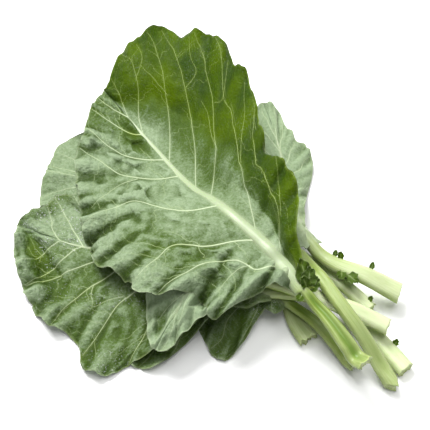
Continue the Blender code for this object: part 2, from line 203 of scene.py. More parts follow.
# Small shoots and leftover bits of blade on the stems: the leaf, the share of its stem from the cut end,
# the side, -1 to 1 across the stem, the heading in degrees from +X, the tilt up, the length and breadth.
SHOOTS = (
    ("main", 1.0, -1.0, 108, 24, 30, 8), ("main", 0.99, -1.0, 88, 32, 22, 7),
    ("main", 0.96, -1.0, 66, 25, 15, 6), ("main", 1.0, -0.6, 125, 45, 14, 5),
    ("main", 0.98, 1.0, -120, 12, 9, 4), ("right", 0.34, -0.9, 70, 35, 8, 2.6),
    ("right", 0.66, -0.9, 100, 35, 8, 3), ("right", 0.74, -0.9, 75, 35, 7, 2.4),
    ("right", 0.56, 0.9, -50, 10, 16, 6), ("right", 0.60, 0.8, -100, 15, 12, 5),
    ("back_left", 0.05, -0.5, 50, 40, 6, 2.4), ("lower_left", 0.16, -0.9, 60, 35, 7, 2.8),
)


# ---- curves ----
def run_of(line):
    """The distance from a line's first point to each of its points, along the line."""
    return np.r_[0, np.cumsum(np.linalg.norm(np.diff(line, axis=0), axis=1))]


def between(at, knots, table):
    """Each column of a table, read between its knots."""
    return np.stack([np.interp(at, knots, column) for column in table.T], -1)


def unit(vectors, least=1e-12):
    """The vectors with a length of 1."""
    return vectors / np.maximum(np.linalg.norm(vectors, axis=-1, keepdims=True), least)


def spline(points, count):
    """Points at even spacing along the Catmull-Rom curve through the given ones."""
    knots = np.array(points, float)
    knots = np.vstack([2 * knots[0] - knots[1], knots, 2 * knots[-1] - knots[-2]])
    spans = len(knots) - 3
    fine = np.linspace(0, spans, 40 * spans + 1)
    index = np.minimum(fine.astype(int), spans - 1)
    f = (fine - index)[:, None]
    a, b, c, d = (knots[index + k] for k in range(4))
    curve = 0.5 * (2 * b + (c - a) * f + (2 * a - 5 * b + 4 * c - d) * f**2
                   + (3 * b - a - 3 * c + d) * f**3)
    run = run_of(curve)
    return between(np.linspace(0, run[-1], count), run, curve)


def smooth_between(values, t):
    """A smooth value at t, 0 to 1, between evenly spaced values."""
    line = spline([(k, v) for k, v in enumerate(values)], 241)
    return np.interp(np.asarray(t) * (len(values) - 1), line[:, 0], line[:, 1])


def weights(count, at):
    """Rows of Catmull-Rom weights that read count even values at the given shares, 0 to 1."""
    table = np.zeros((len(at), count))
    for row, share in enumerate(at):
        spot = share * (count - 1)
        k = min(int(spot), count - 2)
        f = spot - k
        parts = (0.5 * (-f + 2 * f**2 - f**3), 0.5 * (2 - 5 * f**2 + 3 * f**3),
                 0.5 * (f + 4 * f**2 - 3 * f**3), 0.5 * (f**3 - f**2))
        for step, part in zip((-1, 0, 1, 2), parts):
            table[row, min(max(k + step, 0), count - 1)] += part
    return table


def ease(low, high, value):
    """0 below low, 1 above high, smooth between."""
    f = np.clip((value - low) / (high - low), 0, 1)
    return f * f * (3 - 2 * f)


def waves(points, length, seed):
    """A smooth, irregular field of about -1 to 1 over plan points, with bumps about length across."""
    rng = np.random.default_rng(seed)
    total = np.zeros(points.shape[:-1])
    for _ in range(7):
        angle = rng.uniform(0, 2 * math.pi)
        rate = 2 * math.pi / length * rng.uniform(0.6, 1.5)
        way = np.array([math.cos(angle), math.sin(angle)]) * rate
        total += np.sin(points @ way + rng.uniform(0, 2 * math.pi))
    return total / 3.2


def ripple(run, length, seed):
    """A smooth, irregular wave of about -1 to 1 along a run."""
    rng = np.random.default_rng(seed)
    total = np.zeros_like(run)
    for _ in range(4):
        rate = 2 * math.pi / length * rng.uniform(0.65, 1.45)
        total += np.sin(run * rate + rng.uniform(0, 2 * math.pi))
    return total / 2.2


# ---- the frame's surfaces ----
def tree_of(corners, faces):
    """A mesh that rays can meet."""
    return BVHTree.FromPolygons([Vector(p) for p in corners], faces)


def node_tree(*names):
    """The same, of CAD nodes together."""
    corners, faces = [], []
    for name in names:
        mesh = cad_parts[name].data
        first = len(corners)
        corners += [v.co for v in mesh.vertices]
        faces += [[first + k for k in p.vertices] for p in mesh.polygons]
    return tree_of(corners, faces)


def look(tree, points, way, missing):
    """The height at which a ray that comes along Z from far off meets the tree, for each plan point."""
    heights = np.full(len(points), missing, float)
    for k, (x, y) in enumerate(points):
        spot = tree.ray_cast(Vector((x, y, -way)), Vector((0, 0, way)))[0]
        if spot is not None:
            heights[k] = spot.z
    return heights


class Leaf:
    """One leaf's plan, in metres in the frame, and the heights that its CAD pieces have."""

    def __init__(self, name, shift):
        self.name = name
        self.seed = sum(map(ord, name))
        self.spec = {**PLAIN, **LEAVES[name]}
        route = np.array(self.spec["route"], float) / 1000 + shift
        whole = spline(route, 801)
        base = int(np.argmin(np.linalg.norm(whole - route[self.spec["base"]], axis=1)))
        self.petiole = whole[:base + 1]
        self.rib = whole[base:]
        self.neck = self.spec["neck"] / 1000

    def rows(self, t):
        """For each t: the rib's point, and each side's row direction and length."""
        rib = spline(self.rib[::20], 401)
        rib[0] = self.rib[0]
        step = unit(np.gradient(rib, axis=0))
        at = np.linspace(0, 1, 401)
        point, forward = between(t, at, rib), between(t, at, step)
        across = np.stack([-forward[..., 1], forward[..., 0]], -1)
        turn = BACK_SWEEP * (1 - np.asarray(t))
        sides = {}
        for side, sign in (("left", 1), ("right", -1)):
            way = np.cos(turn)[..., None] * forward + sign * np.sin(turn)[..., None] * across
            length = smooth_between((*self.spec[side], self.spec["tip"]), t) / 1000
            sides[side] = (way, length)
        return point, sides

    def place(self, t, v):
        """Plan points at shares t along the rib and v out to the margin, positive to the left."""
        point, sides = self.rows(t)
        way = np.where((v > 0)[..., None], sides["left"][0], sides["right"][0])
        length = np.where(v > 0, sides["left"][1], sides["right"][1])
        return point + (np.abs(v) * length)[..., None] * way

    def cad_heights(self, t, v):
        """The CAD blade's middle height at shares t (rows) by v (rows by columns) of its own rows."""
        tree = node_tree(self.name + "_blade")
        rows = np.linspace(0, 1, CAD_ROWS)
        columns = np.linspace(-1, 1, 2 * CAD_COLUMNS + 1)
        grid = self.place(*np.meshgrid(np.clip(rows, 0.01, 0.995), columns * 0.985, indexing="ij"))
        top = look(tree, grid.reshape(-1, 2), -1, np.nan).reshape(grid.shape[:2])
        for i, j in zip(*np.nonzero(np.isnan(top))):
            near = tree.find_nearest(Vector((*grid[i, j], 0.03)))[0]
            top[i, j] = near.z
        middle = top - CAD_HALF
        even = np.linspace(-1, 1, 161)
        fine = weights(CAD_ROWS, t) @ middle @ weights(2 * CAD_COLUMNS + 1, (even + 1) / 2).T
        return np.array([np.interp(row, even, heights) for row, heights in zip(v, fine)])


def frame_shift():
    """From the routes' own origin to the frame's, from the main blade's box."""
    leaf = Leaf("main", 0.0)
    grid = leaf.place(*np.meshgrid(np.linspace(0, 1, CAD_ROWS), np.linspace(-1, 1, 2 * CAD_COLUMNS + 1),
                                   indexing="ij"))
    low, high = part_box("main_blade")
    middle = (np.array(low[:2]) + np.array(high[:2])) / 2
    return middle - (grid.min(axis=(0, 1)) + grid.max(axis=(0, 1))) / 2


# ---- veins ----
def vein_paths(leaf):
    """The leaf's veins as arrays of (t, v, half width in metres, boldness)."""
    rng = np.random.default_rng(leaf.seed)
    v = np.linspace(0, VEIN_END, VEIN_POINTS)
    paths = []

    def keep(t, v, width, bold):
        paths.append(np.stack([np.clip(t, 0, LAST_T), v, width, bold], 1))

    for sign, side in ((1, "left"), (-1, "right")):
        given = leaf.spec["veins_" + side]
        if given is None:
            starts = [(k + 0.4 + rng.uniform(-0.15, 0.15)) / SIDE_VEINS * 0.95 for k in range(SIDE_VEINS)]
            given = [(t0, t0 + rng.uniform(0.01, 0.03), t0 + rng.uniform(0.01, 0.05),
                      t0 + rng.uniform(0.02, 0.06), t0 + rng.uniform(0.02, 0.08)) for t0 in starts]
        tops = []
        for line in given:
            t = smooth_between(line, v / VEIN_END) + 0.0012 * np.sin(v * 23 + rng.uniform(0, 6)) * v
            width = 0.0009 * (1 - 0.45 * line[0]) * (1 - v) ** 0.8 + 0.00026
            keep(t, sign * v, width, 0.95 - 0.35 * v)
            tops.append((t, width))
        tops.sort(key=lambda top: top[0][VEIN_POINTS // 2])
        edges = [np.full(VEIN_POINTS, -0.02)] + [t for t, _ in tops] + [np.full(VEIN_POINTS, 1.02)]
        for k, (t, width) in enumerate(tops):
            for spot in BRANCHINGS:
                spot += rng.uniform(-0.07, 0.07)
                for other, reach in ((edges[k], -1), (edges[k + 2], 1)):
                    i = int(spot * (VEIN_POINTS - 1))
                    gap = abs(other[i] - t[i])
                    if gap < 0.03 or rng.uniform() < 0.25:
                        continue
                    run = np.linspace(0, 1, 22)
                    kink = 0.05 * gap * np.sin(run * rng.uniform(9, 14) + rng.uniform(0, 6))
                    bt = t[i] + reach * gap * rng.uniform(0.42, 0.6) * run + kink
                    bv = v[i] + rng.uniform(0.08, 0.16) * run**0.8
                    bw = width[i] * 0.34 * (1 - 0.6 * run) + 0.00008
                    keep(bt, sign * np.clip(bv, 0.01, 0.985), bw, 0.42 - 0.26 * run)
    for sign, *points in leaf.spec["forks"]:
        line = spline(points, 40)
        run = np.linspace(0, 1, 40)
        keep(line[:, 0], sign * line[:, 1], 0.00042 * (1 - 0.6 * run) + 0.0001, 0.75 - 0.35 * run)
    return paths


def reader(shape, t, v):
    """A function that reads a field on a blade's grid at shares t along the rib and v out to the margin."""
    rows, width = shape
    middle = width // 2
    i = np.clip(t * (rows - 1), 0, rows - 1.001)
    j = np.clip(middle + np.sign(v) * np.abs(v) ** (1 / SPREAD) * middle, 0, width - 1.001)
    low_i, low_j = i.astype(int), j.astype(int)
    f, g = (i - low_i)[:, None], (j - low_j)[:, None]

    def read(field):
        return ((1 - f) * (1 - g) * field[low_i, low_j] + f * (1 - g) * field[low_i + 1, low_j]
                + (1 - f) * g * field[low_i, low_j + 1] + f * g * field[low_i + 1, low_j + 1])
    return read


def vein_fields(points, paths):
    """Over plan points: how strongly a vein shows, and the distance to the nearest one."""
    spots = []
    for path in paths:
        fine = np.linspace(0, len(path) - 1, len(path) * 3)
        index = np.arange(len(path))
        t, v, w, bold = between(fine, index, path).T
        spots.append(np.column_stack([reader(points.shape[:2], t, v)(points), w, bold]))
    spots = np.vstack(spots)
    tree = KDTree(len(spots))
    for k, spot in enumerate(spots):
        tree.insert((spot[0], spot[1], 0), k)
    tree.balance()
    flat = points.reshape(-1, 2)
    near = [tree.find_n((x, y, 0), 3) for x, y in flat]
    gap = np.array([found[0][2] for found in near])
    index = np.array([[hit[1] for hit in found] for found in near])
    away = np.array([[hit[2] for hit in found] for found in near])
    show = (np.exp(-(away / (spots[index, 2] + 0.00022)) ** 2) * spots[index, 3]).max(axis=1)
    weight = np.clip(spots[index[:, 0], 3] * 1.3, 0.3, 1)
    shape = points.shape[:-1]
    return show.reshape(shape), gap.reshape(shape), weight.reshape(shape)


# ---- meshes ----
def add(name, data):
    """A new object in the scene."""
    thing = bpy.data.objects.new(name, data)
    bpy.context.scene.collection.objects.link(thing)
    return thing


def make_piece(name, corners, faces, fields, material):
    """A piece of the one body, with fields that its material reads."""
    mesh = bpy.data.meshes.new(name)
    mesh.from_pydata(corners.tolist(), [], faces)
    for label, values in fields.items():
        mesh.attributes.new(label, "FLOAT", "POINT").data.foreach_set("value", values.astype("f4"))
    mesh.shade_smooth()
    mesh.materials.append(material)
    thing = add(name, mesh)
    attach(thing, "root")
    return thing


def sheet_normals(grid):
    """The way a sheet of points faces at each of them."""
    return unit(np.cross(np.gradient(grid, axis=0), np.gradient(grid, axis=1)))


def shell(grid, fields, half):
    """A closed thin shell around a grid of middle points, whose last row is folded shut at the tip."""
    rows, width = grid.shape[:2]
    middle = width // 2
    normal = sheet_normals(grid)
    normal[-1] = normal[-2, middle]
    number = np.arange(rows * width).reshape(rows, width)
    number[-1, :middle] = number[-1, :middle:-1]
    count = rows * width
    top = (grid + normal * half).reshape(-1, 3)
    bottom = (grid - normal * half).reshape(-1, 3)
    a, b = number[:-1, :-1], number[1:, :-1]
    c, d = number[1:, 1:], number[:-1, 1:]
    quads = np.stack([a, b, c, d], -1).reshape(-1, 4)
    edge = np.concatenate([number[0, :], number[1:, -1], number[-2::-1, 0]])
    rim = np.stack([edge[:-1], edge[1:], edge[1:] + count, edge[:-1] + count], -1)
    faces = np.vstack([quads, quads[:, ::-1] + count, rim[:, ::-1]])
    corners = np.vstack([top, bottom])
    used = np.zeros(len(corners), bool)
    used[faces] = True
    renumber = np.cumsum(used) - 1
    faces = renumber[faces]
    values = {label: np.tile(field.reshape(-1), 2)[used] for label, field in fields.items()}
    values["under"] = np.repeat([0.0, 1.0], count)[used]
    solid = [tuple(dict.fromkeys(face)) for face in faces.tolist()]
    return corners[used], [face for face in solid if len(face) > 2], values


def no_walls(plan, height):
    """Heights lowered until no step between neighbours is steeper than STEEPEST."""
    height = height.copy()
    for axis in (0, 1, 0, 1):
        step = np.moveaxis(np.linalg.norm(np.diff(plan, axis=axis), axis=-1) * STEEPEST, axis, 0)
        lines = np.moveaxis(height, axis, 0)
        for k in range(1, len(lines)):
            lines[k] = np.minimum(lines[k], lines[k - 1] + step[k - 1])
        for k in range(len(lines) - 2, -1, -1):
            lines[k] = np.minimum(lines[k], lines[k + 1] + step[k])
    return height


def blur(field, reach):
    """A field on a grid, each value mixed with its neighbours up to reach cells away."""
    kernel = np.hanning(2 * reach + 3)[1:-1]
    kernel /= kernel.sum()
    for axis in (0, 1):
        field = np.apply_along_axis(
            lambda line: np.convolve(np.pad(line, reach, "edge"), kernel, "valid"), axis, field)
    return field


def patch(zones, sign_of, tt, vv, soft):
    """The sum of soft-edged zones in (along, out), each times its own amount."""
    total = np.zeros(tt.shape)
    for sign, t0, t1, v0, v1, amount in zones:
        along = ease(t0 - soft / 2, t0 + soft, tt) * (1 - ease(t1 - soft, t1 + soft / 2, tt))
        out = ease(v0 - soft, v0 + 1.6 * soft, np.abs(vv))
        out = out * (1 - ease(v1 - 1.6 * soft, v1 + soft, np.abs(vv)))
        total += amount * along * out * (sign_of == sign)
    return total


def blade_piece(leaf, above, stems, material):
    """One blade: its veins, blisters and ruffled margin, kept under what lies above it."""
    seed, spec = leaf.seed, leaf.spec
    rows, columns = FINE.get(leaf.name, COARSE)
    t = np.linspace(0, 1, rows)
    share = np.linspace(-1, 1, 2 * columns + 1)
    out = np.sign(share) * np.abs(share) ** SPREAD
    tt, vv = np.meshgrid(t, out, indexing="ij")
    point, sides = leaf.rows(t)
    left = vv > 0
    sign_of = np.where(left, 1, -1)
    way = np.where(left[..., None], sides["left"][0][:, None], sides["right"][0][:, None])

    def by_side(on_left, on_right):
        return np.where(left, on_left[:, None], on_right[:, None])

    def zones(key, soft):
        return patch(spec[key], sign_of, tt, vv, soft)

    cad_length = by_side(sides["left"][1], sides["right"][1])

    # the margin's run, for waves along it that meet at the tip
    run = {side: run_of(point + row_way * long[:, None]) for side, (row_way, long) in sides.items()}
    margin_run = by_side(run["left"], run["left"][-1] + (run["right"][-1] - run["right"]))
    closing = ease(0.0, 0.12, tt) * ease(0.0, 0.05, 1 - tt)
    moved = by_side(smooth_between(spec["edge_left"], t), smooth_between(spec["edge_right"], t)) / 1000
    scallop = 0.012 * ripple(margin_run, 0.030, seed) + 0.005 * ripple(margin_run, 0.010, seed + 1)
    before_tip = ease(0, 0.04, 1 - tt)
    moved = moved * before_tip + moved[-1].mean() * (1 - before_tip)
    length = (cad_length + moved) * (1 + scallop * closing)
    away = np.abs(vv) * length
    from_edge = length - away

    # a rolled margin
    curl = 0.6 * ripple(margin_run, 0.07, seed + 2) * closing
    for low, high, side, amount in spec["curls"]:
        mask = ease(low - 0.04, low + 0.04, tt) * (1 - ease(high - 0.04, high + 0.04, tt))
        curl = curl + amount * mask * (left if side == "left" else ~left)
    past = np.clip(away - (length - ROLL), 0, None)
    flat_curl = np.abs(curl) < 0.05
    radius = ROLL / np.where(flat_curl, 0.05, curl)
    angle = curl * past / ROLL
    inward = np.where(flat_curl, 0, past - radius * np.sin(angle))
    lift = np.where(flat_curl, 0, radius * (1 - np.cos(angle)))
    reach = away - inward
    plan = point[:, None] + reach[..., None] * way

    # ruffles, then bulges and blisters between the veins, pleats, waves and the leaf's own swells
    height = leaf.cad_heights(t, sign_of * np.clip(reach / cad_length, 0, 1))
    leaf.veins = vein_paths(leaf)
    show, gap, weight = vein_fields(plan, leaf.veins)
    edge_share = np.clip(1 - from_edge / RUFFLE_REACH, 0, 1)
    ruffle = spec["ruffle"] * np.where(left, 1, spec["ruffle_right"])
    height += ruffle * edge_share**1.6 * ripple(margin_run, 0.046, seed + 3) * closing
    height += 0.34 * ruffle * edge_share**2.5 * ripple(margin_run, 0.017, seed + 4) * closing
    pucker = spec["pucker"] * np.where(left, 1, spec["pucker_right"])
    outwards = ease(0.15, 0.6, np.abs(vv) + 0.5 * ease(0.6, 1, tt))
    pucker = pucker * (0.35 + 0.65 * outwards) * ease(0, 0.012, away)
    pillow = (1 - np.exp(-(gap / PILLOW_REACH) ** 2)) * weight
    height += pucker * (0.62 + 0.45 * waves(plan, 0.07, seed + 6)) * pillow
    height += 0.14 * pucker * (waves(plan, 0.018, seed + 7) * (1 - np.exp(-(gap / 0.0035) ** 2)))
    height += 0.40 * pucker * waves(plan, 0.038, seed + 11) * pillow
    pleats = np.abs(ripple(margin_run + 0.25 * away, 0.058, seed + 12)) ** 0.8 - 0.45
    near_edge = np.clip(1 - from_edge / PLEAT_REACH, 0, 1)
    height += spec["pleats"] * np.where(left, 1, 0.3) * pleats * near_edge * closing
    height += 0.0026 * waves(plan, 0.11, seed + 8) * ease(0.008, 0.04, away)
    height += zones("swells", 0.07) / 1000
    height += lift

    # over the table and the stems below, and under the blades above
    flat = plan.reshape(-1, 2)
    shape = height.shape
    ground = np.full(shape, TABLE_GAP + LAYER.get(leaf.name, 0) * LAYER_GAP)
    if stems is not None:
        ground = np.maximum(ground, look(stems, flat, -1, -1).reshape(shape) + LAYER_GAP)
    height = np.maximum(height, ground)
    if above is not None:
        ceiling = look(above, flat, 1, 9).reshape(shape) - LAYER_GAP
        height = np.maximum(no_walls(plan, np.minimum(height, ceiling)), ground)
        height = np.maximum(np.minimum(height, ceiling), TABLE_GAP)
    grid = np.concatenate([plan, height[..., None]], -1)

    rib_half = 0.5 * leaf.neck * (TIP_RIB / leaf.neck) ** tt
    rib_show = np.exp(-np.clip(away - rib_half * 0.8, 0, None) ** 2 / (rib_half * 0.9) ** 2)
    # painted shade: darker in the blade's hollows, and, through the bloom below, paler on its crests as
    # painted light
    hollow_shade = (blur(height, 7 * rows // FINE["main"][0]) - height) / FULL_HOLLOW_SHADE
    # the wax bloom together with painted sheen where a surface would catch the light, lowered by zones of
    # bare tissue and of painted shade
    bloom = spec["bloom"] - zones("bare", 0.11) - zones("soft_painted_shade", 0.20)
    bloom = bloom + 0.05 * waves(plan, 0.06, seed + 9) - 0.30 * np.clip(hollow_shade, -0.6, 1)
    wet = zones("wet", 0.11) * (0.8 + waves(plan, 0.03, seed + 10))
    fields = dict(
        vein=np.clip(np.maximum(show * spec["halo"], rib_show * (0.95 - 0.3 * tt)), 0, 1),
        rim=np.exp(-(from_edge / 0.0013) ** 2),
        pale=np.clip(bloom, -0.3, 1),
        hollow_shade=np.clip(hollow_shade, 0, 1) * ease(0, 0.004, from_edge),
        crinkle=np.clip(pucker / 0.0045 * (0.45 + 0.75 * edge_share), 0.12, 1.3),
        dew=np.clip(spec["dew"] * (0.4 + 0.9 * waves(plan, 0.06, seed + 10)) + wet, 0, 1),
    )
    corners, faces, values = shell(grid, fields, BLADE_HALF)
    piece = make_piece("leaf_" + leaf.name, corners, faces, values, material)
    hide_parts(leaf.name + "_blade")
    leaf.surface = grid
    leaf.wax = fields["pale"][..., None]
    return corners, faces


def vein_piece(leaf, material):
    """All veins of a blade as one piece: flat-bellied cords that stand a little proud on both sides."""
    grid, spec = leaf.surface, leaf.spec
    normal = sheet_normals(grid)
    ring = np.linspace(0, 2 * math.pi, CORD_SIDES, endpoint=False)
    corners, faces, strength, waxy = [], [], [], []
    count = 0
    for path in leaf.veins:
        index = np.arange(len(path))
        fine = np.linspace(0, len(path) - 1, round(len(path) * 2.2))
        path = between(fine, index, path)
        read = reader(grid.shape[:2], path[:, 0], path[:, 1])
        line, up = read(grid), unit(read(normal))
        side = unit(np.cross(up, unit(np.gradient(line, axis=0), 1e-9)), 1e-9)
        size = np.where(path[:, 1] < 0, spec["vein_right"], 1.0) * spec["vein_size"]
        half = (path[:, 2] * size)[:, None]
        tall = BLADE_HALF + CORD_PROUD + 0.30 * half
        for angle in ring:
            corners.append(line + side * half * math.cos(angle) + up * tall * math.sin(angle))
            strength.append(path[:, 3])
            waxy.append(read(leaf.wax)[:, 0])
        length = len(line)
        number = count + np.arange(CORD_SIDES * length).reshape(CORD_SIDES, length)
        after = np.roll(number, -1, axis=0)
        quads = np.stack([number[:, :-1], number[:, 1:], after[:, 1:], after[:, :-1]], -1).reshape(-1, 4)
        faces += [*quads.tolist(), number[:, 0].tolist(), number[::-1, -1].tolist()]
        count += CORD_SIDES * length
    piece = make_piece("veins_" + leaf.name, np.vstack(corners), faces,
                       dict(bold=np.concatenate(strength), waxy=np.concatenate(waxy)), material)


def stem_piece(leaf, material):
    """A stem with its groove, running on as the blade's midrib."""
    seed, spec = leaf.seed, leaf.spec
    tree = node_tree(leaf.name + "_stem")
    run = run_of(leaf.petiole)
    where = between(np.linspace(0, run[-1], 9), run, leaf.petiole)
    where[0] += (where[1] - where[0]) * 0.02
    tops = look(tree, where, -1, np.nan)
    tops = np.where(np.isnan(tops), np.nanmean(tops), tops)
    down = np.linspace(0, 1, STEM_STEPS)
    lower = between(down * run[-1], run, leaf.petiole)
    rows, width = leaf.surface.shape[:2]
    reach = int(MIDRIB_END * rows)
    rib_t = np.arange(reach)[1::2] / (rows - 1)
    upper = leaf.surface[1:reach:2, width // 2]
    line = np.vstack([lower, upper[:, :2]])
    emerge = spec["rib_rise"] * (1 - 0.85 * rib_t)
    join = ease(0.75, 1.0, down)
    top = np.r_[smooth_between(tops, down) * (1 - join) + join * (leaf.surface[0, width // 2, 2] + emerge[0]),
                upper[:, 2] + emerge]
    bend = down ** 1.3
    rib_width = leaf.neck * (TIP_RIB / leaf.neck) ** rib_t
    widths = np.r_[(spec["width"] * (1 - bend) + spec["neck"] * bend) / 1000, rib_width * spec["rib_size"]]
    depths = np.r_[(spec["depth"] * (1 - bend) + spec["neck"] * bend) / 1000, rib_width + emerge]
    kernel = np.hanning(9)
    top = np.convolve(np.pad(top, 4, "edge"), kernel / kernel.sum(), "valid")
    step = unit(np.gradient(line, axis=0))
    across = np.stack([-step[:, 1], step[:, 0]], 1)
    angle = np.linspace(0, 2 * math.pi, STEM_SIDES, endpoint=False)
    u, w = np.cos(angle), np.sin(angle)
    total = run_of(line)
    hollow = np.r_[spec["groove"] * ease(-0.02, 0.16, down) * (1 - ease(0.85, 1.0, down)), 0 * rib_t]
    floor_of = np.exp(-(u / 0.45) ** 2) * (w > 0)
    jag = spec["jag"] / 1000 * (0.5 * np.sin(angle * 5 + seed) + 0.3 * np.sin(angle * 11 + 2 * seed)
                                + 0.25 * np.sin(angle * 17 + seed))
    jag = jag + spec["point"] / 1000 * (1 - np.abs(u)) - spec["point"] / 2000

    def ring(k, scale=1.0, inset=0.0):
        ridges = 0.010 * np.sin(angle * 9 + seed) + 0.008 * np.sin(angle * 17 + 2 * seed)
        swell = (1 + ridges + 0.02 * np.sin(total[k] * 60 + seed)) * scale
        side = u * widths[k] / 2 * swell
        rise = w * depths[k] / 2 * swell - hollow[k] * depths[k] * floor_of * scale
        back = jag * (1 - ease(0, 0.012, total[k])) * scale - inset
        xy = line[k] + side[:, None] * across[k] - back[:, None] * step[k]
        return np.column_stack([xy, np.maximum(top[k] - depths[k] / 2 + rise, STEM_GAP)])

    cut_face = [ring(0, 0.30, 0.0011), ring(0, 0.62, 0.0012), ring(0, 0.86, 0.0005)]
    caps = len(cut_face)
    rings = np.array(cut_face + [ring(k) for k in range(len(line))])
    corners = rings.reshape(-1, 3)
    number = np.arange(len(corners)).reshape(len(rings), STEM_SIDES)
    after = np.roll(number, -1, axis=1)
    quads = np.stack([number[:-1], after[:-1], after[1:], number[1:]], -1).reshape(-1, 4)
    faces = [*quads.tolist(), number[0][::-1].tolist(), number[-1].tolist()]
    lengthwise = np.r_[np.zeros(caps), total]
    fields = dict(
        along=np.repeat(lengthwise, STEM_SIDES),
        around=np.tile(w, len(rings)),
        cut=np.repeat(np.r_[1.0, 1.0, 0.8, 0.35, 0.15, np.zeros(len(line) - 2)], STEM_SIDES),
        groove=(np.r_[np.zeros(caps), hollow][:, None] * floor_of).reshape(-1) / FULL_GROOVE,
        rib=np.repeat(ease(run[-1] - 0.012, run[-1] + 0.02, lengthwise), STEM_SIDES),
        # greener towards the blade: partly the stem's own colour, partly painted shade under the blades above
        # it
        tone=spec["stem_tone"] * (1 - 0.6 * np.repeat(ease(0.35, 0.85, lengthwise / run[-1]), STEM_SIDES)),
    )
    piece = make_piece("stem_" + leaf.name, corners, faces, fields, material)
    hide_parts(leaf.name + "_stem")
    leaf.stalk = dict(line=lower, across=across, top=top, widths=widths, depths=depths)


def shoots(leaves, material):
    """The small shoots on the stems, each a ruffled leaflet, as one piece."""
    parts, faces, fields = [], [], {}
    count = 0
    rng = np.random.default_rng(7)
    t = np.linspace(0, 1, 19)
    share = np.linspace(-1, 1, 15)
    tt, vv = np.meshgrid(t, share, indexing="ij")
    for name, spot, side, heading, tilt, long, broad in SHOOTS:
        stalk = leaves[name].stalk
        k = int(spot * (STEM_STEPS - 1))
        base = np.array([*(stalk["line"][k] + stalk["across"][k] * side * stalk["widths"][k] / 2 * 0.9),
                         stalk["top"][k] - stalk["depths"][k] / 2 * (1 - 0.8 * math.sqrt(1 - side * side))])
        turn = math.radians(105) * (1 - tt)
        reach = (0.20 + 0.80 * np.sin(math.pi * tt**0.8) ** 0.8) * broad / 1000
        reach = reach * (1 + 0.13 * ripple(tt * 0.03 + 0.01 * (vv > 0) * (1 - tt), 0.009, heading + 999))
        x = long / 1000 * tt * 0.8 + np.abs(vv) * reach * np.cos(turn)
        y = vv * reach * np.sin(turn)
        wave = ripple(tt * 0.05, 0.014, heading + 500) * ease(0, 0.1, 1 - tt)
        z = 0.20 * broad / 1000 * np.abs(vv) ** 1.5 * (0.8 + 1.4 * wave)
        z = z + 0.12 * long / 1000 * np.sin(tt * 2.4)
        lean, head = math.radians(tilt), math.radians(heading)
        far = x * math.cos(lean) - z * math.sin(lean)
        tall = x * math.sin(lean) + z * math.cos(lean)
        grid = np.stack([base[0] + far * math.cos(head) - y * math.sin(head),
                         base[1] + far * math.sin(head) + y * math.cos(head),
                         np.maximum(base[2] + tall, TABLE_GAP)], -1)
        edge = (1 - np.abs(vv)) * reach
        values = dict(vein=np.exp(-(vv / 0.12) ** 2) * 0.8, rim=np.exp(-(edge / 0.0004) ** 2) * 0.8,
                      pale=np.full(tt.shape, rng.uniform(0.05, 0.35)), crinkle=0 * tt + 0.3,
                      hollow_shade=0 * tt, dew=0 * tt)
        new, quads, made = shell(grid, values, BLADE_HALF * 0.8)
        parts.append(new)
        faces += [tuple(n + count for n in quad) for quad in quads]
        for label, field in made.items():
            fields.setdefault(label, []).append(field)
        count += len(new)
    piece = make_piece("shoots", np.vstack(parts), faces,
                       {label: np.concatenate(field) for label, field in fields.items()}, material)


# ---- materials ----
class Nodes:
    """Short calls for building a node tree."""

    def __init__(self, name):
        self.material = bpy.data.materials.new(name)
        self.material.use_nodes = True
        self.tree = self.material.node_tree
        self.shader = self.tree.nodes["Principled BSDF"]
        self.output = self.tree.nodes["Material Output"]

    def node(self, kind, **values):
        made = self.tree.nodes.new("ShaderNode" + kind)
        for key, value in values.items():
            setattr(made, key, value)
        return made

    def plug(self, value, socket):
        if isinstance(value, bpy.types.NodeSocket):
            self.tree.links.new(value, socket)
        else:
            socket.default_value = value

    def give(self, label, value):
        self.plug(value, self.shader.inputs[label])

    def field(self, label):
        return self.node("Attribute", attribute_name=label).outputs["Fac"]

    def math(self, kind, a, b, clamp=False):
        made = self.node("Math", operation=kind, use_clamp=clamp)
        self.plug(a, made.inputs[0])
        self.plug(b, made.inputs[1])
        return made.outputs[0]

    def times(self, *given, **more):
        return self.math("MULTIPLY", *given, **more)

    def plus(self, *given, **more):
        return self.math("ADD", *given, **more)

    def mix(self, share, a, b):
        made = self.node("Mix", data_type="RGBA")
        self.plug(share, made.inputs[0])
        self.plug(a, made.inputs[6])
        self.plug(b, made.inputs[7])
        return made.outputs[2]

    def tint(self, label, share, a, b):
        """Colour a with up to a share of b, by a field."""
        return self.mix(self.times(self.field(label), share), a, b)

    def spread(self, value, low, high, to_low=0.0, to_high=1.0):
        made = self.node("MapRange")
        self.plug(value, made.inputs[0])
        for k, number in enumerate((low, high, to_low, to_high)):
            made.inputs[k + 1].default_value = number
        return made.outputs[0]

    def noise(self, scale, detail=4.0, rough=0.55, vector=None):
        made = self.node("TexNoise")
        for label, number in (("Scale", scale), ("Detail", detail), ("Roughness", rough)):
            made.inputs[label].default_value = number
        self.plug(vector or self.node("TexCoord").outputs["Object"], made.inputs["Vector"])
        return made.outputs["Fac"]

    def bump(self, height, strength, distance):
        made = self.node("Bump")
        made.inputs["Strength"].default_value = strength
        made.inputs["Distance"].default_value = distance
        self.plug(height, made.inputs["Height"])
        self.plug(made.outputs[0], self.shader.inputs["Normal"])
        return made.outputs[0]


def rgb(r, g, b):
    """A display colour, 0 to 255, as a linear one."""
    parts = (c / 255 for c in (r, g, b))
    return (*(c / 12.92 if c <= 0.04 else ((c + 0.055) / 1.055) ** 2.4 for c in parts), 1)


